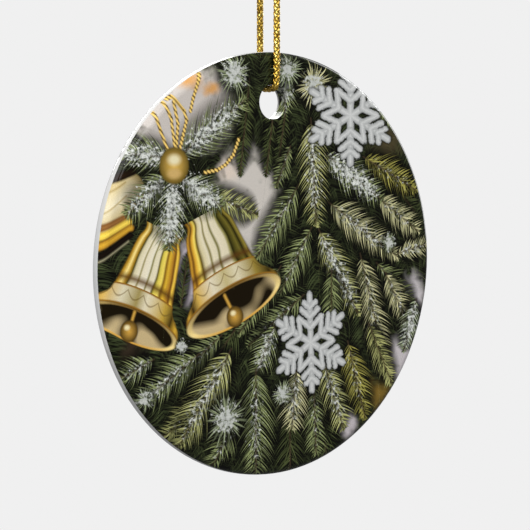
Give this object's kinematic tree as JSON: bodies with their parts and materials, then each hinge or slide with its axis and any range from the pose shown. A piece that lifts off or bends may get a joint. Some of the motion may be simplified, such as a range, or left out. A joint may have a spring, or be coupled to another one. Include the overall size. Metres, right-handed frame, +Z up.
{
  "type": "hanging porcelain ornament",
  "caption": "Flat round glazed porcelain ornament with a rounded rim and a glossy printed winter picture on its face, hung from a knotted loop of gold metallic cord.",
  "frame": {"origin": "the hanging point: the inside top of the cord loop, where a hook bears", "axes": "+Z up, +Y along the disc's axis from the picture face to the plain back, +X to the right as the picture is seen"},
  "size_m": [0.073, 0.0072, 0.1252],
  "materials": {
    "white_glaze": "glossy white glaze, rounded over every edge",
    "picture": "high-gloss printed picture coat, fir branches, gold bells and white snowflakes",
    "gold_cord": "bright metallic gold thread, braided"
  },
  "bodies": {
    "loop_top": {"cord_end_front": "gold_cord", "cord_end_back": "gold_cord", "cord_knot": "gold_cord"},
    "cord_loop": {"cord_sling": "gold_cord"},
    "ornament": {"porcelain_disc": "white_glaze", "picture_print": "picture"}
  },
  "joints": [
    {"name": "cord_twist", "type": "hinge", "parent": "loop_top", "child": "cord_loop", "pos_m": [0, 0, -0.0061], "axis": [0, 0, 1], "range_deg": [-90, 90]},
    {"name": "disc_rock", "type": "hinge", "parent": "cord_loop", "child": "ornament", "pos_m": [0, 0, -0.04783], "axis": [0, 1, 0], "range_deg": [-45, 45]}
  ]
}
